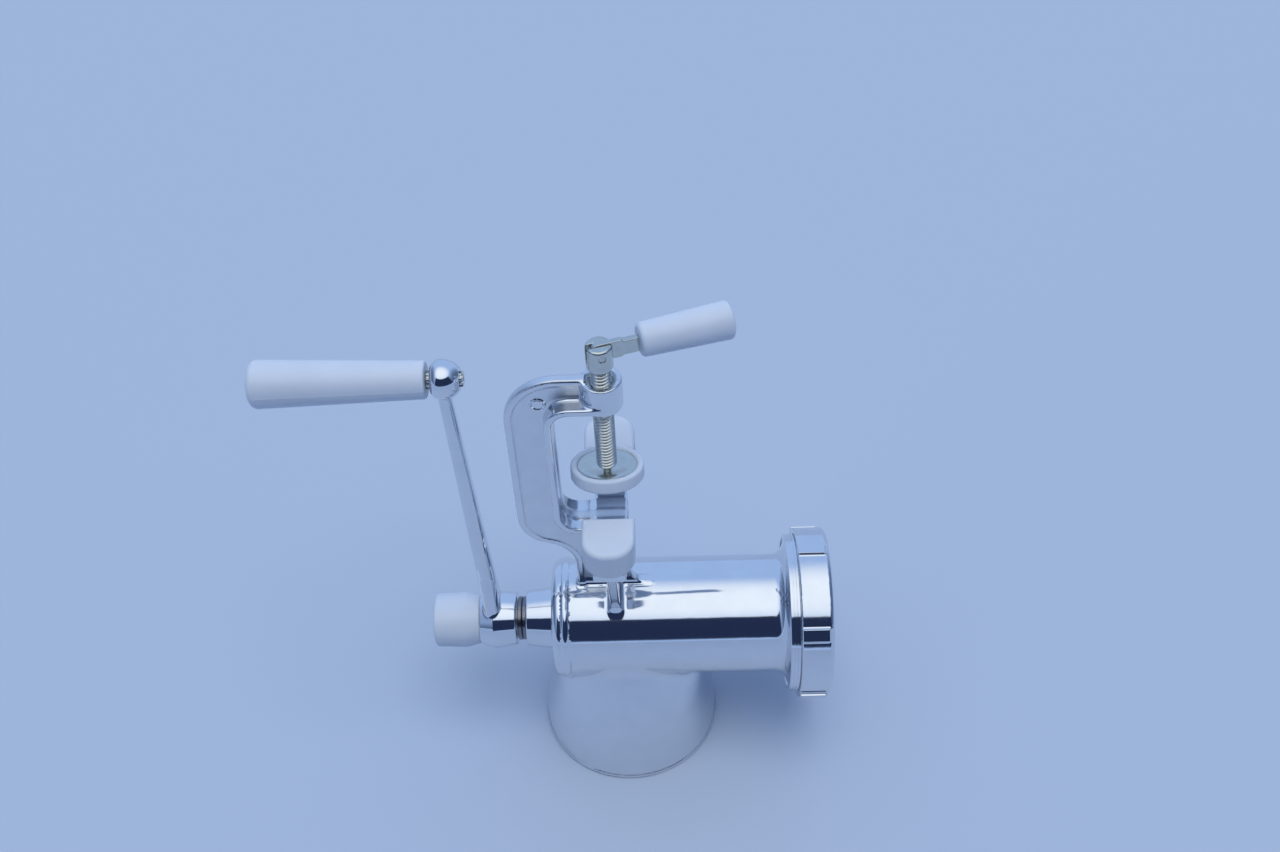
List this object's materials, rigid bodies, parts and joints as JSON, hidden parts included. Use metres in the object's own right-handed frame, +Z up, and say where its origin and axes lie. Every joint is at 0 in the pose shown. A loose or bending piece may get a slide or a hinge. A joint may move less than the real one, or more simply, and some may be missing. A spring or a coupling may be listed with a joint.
{
  "type": "hand crank meat grinder",
  "caption": "Cast kitchen mincer with a hopper, feed screw barrel, knife and perforated plate behind a ring nut, a hand crank and a screw table clamp.",
  "frame": {"origin": "middle of the hopper mouth, on the plane of its rim, which is what the grinder stands on", "axes": "+Z up with the grinder standing on its hopper mouth as pictured, clamp upwards; +X along the barrel towards the outlet; +Y across, away from the pictured side"},
  "size_m": [0.2428, 0.086, 0.2561],
  "materials": {
    "cast_aluminium": "polished casting",
    "feed_screw_aluminium": "tumbled casting",
    "plated_steel": "zinc plated",
    "tool_steel": "ground",
    "bush_bronze": "turned",
    "washer_plastic": "moulded",
    "white_plastic": "moulded, slightly translucent"
  },
  "bodies": {
    "casting": {"grinder_body": "cast_aluminium", "foot_cap_front": "white_plastic", "foot_cap_rear": "white_plastic", "shaft_bush": "bush_bronze", "thrust_washer": "washer_plastic", "plate_key_pin": "plated_steel"},
    "drive": {"feed_screw": "feed_screw_aluminium", "knife_stud": "plated_steel", "cross_knife": "tool_steel", "crank_arm": "cast_aluminium", "grip_spindle": "plated_steel"},
    "grip": {"crank_grip": "white_plastic"},
    "thumb_screw": {"thumb_knob": "white_plastic", "thumb_stud": "plated_steel"},
    "plate": {"hole_plate": "tool_steel"},
    "nut": {"ring_nut": "cast_aluminium"},
    "pad": {"pad_dish": "plated_steel", "pad_cap": "white_plastic"},
    "screw": {"clamp_screw": "plated_steel", "lever_pin": "plated_steel"},
    "lever": {"clamp_lever": "plated_steel", "lever_grip": "white_plastic"}
  },
  "joints": [
    {"name": "crank_turn", "type": "hinge", "parent": "casting", "child": "drive", "pos_m": [0, 0, 0.0757], "axis": [1, 0, 0], "continuous": true},
    {"name": "grip_spin", "type": "hinge", "parent": "drive", "child": "grip", "pos_m": [-0.0699, 0.01445, 0.22048], "axis": [1, 0, 0], "continuous": true},
    {"name": "thumb_screw_draw", "type": "slide", "parent": "drive", "child": "thumb_screw", "axis": [-1, 0, 0], "range_m": [0, 0.024]},
    {"name": "plate_draw", "type": "slide", "parent": "casting", "child": "plate", "axis": [1, 0, 0], "range_m": [0, 0.0086]},
    {"name": "ring_nut_turn", "type": "hinge", "parent": "plate", "child": "nut", "pos_m": [0, 0, 0.0757], "axis": [1, 0, 0], "range_deg": [0, 1020]},
    {"name": "clamp_feed", "type": "slide", "parent": "casting", "child": "pad", "axis": [0, 0, 1], "range_m": [-0.0036, 0.0301]},
    {"name": "clamp_turn", "type": "hinge", "parent": "pad", "child": "screw", "pos_m": [-0.0035, 0, 0.2], "axis": [0, 0, 1], "range_deg": [-1008, 8640]},
    {"name": "lever_fold", "type": "hinge", "parent": "screw", "child": "lever", "pos_m": [-0.0035, 0, 0.247], "axis": [0.284, -0.9588, 0], "range_deg": [0, 180]}
  ],
  "couplings": [
    {"joint": "clamp_feed", "follows": "clamp_turn", "m_per_rad": 0.00019894},
    {"joint": "plate_draw", "follows": "ring_nut_turn", "m_per_rad": 0.00047746}
  ]
}
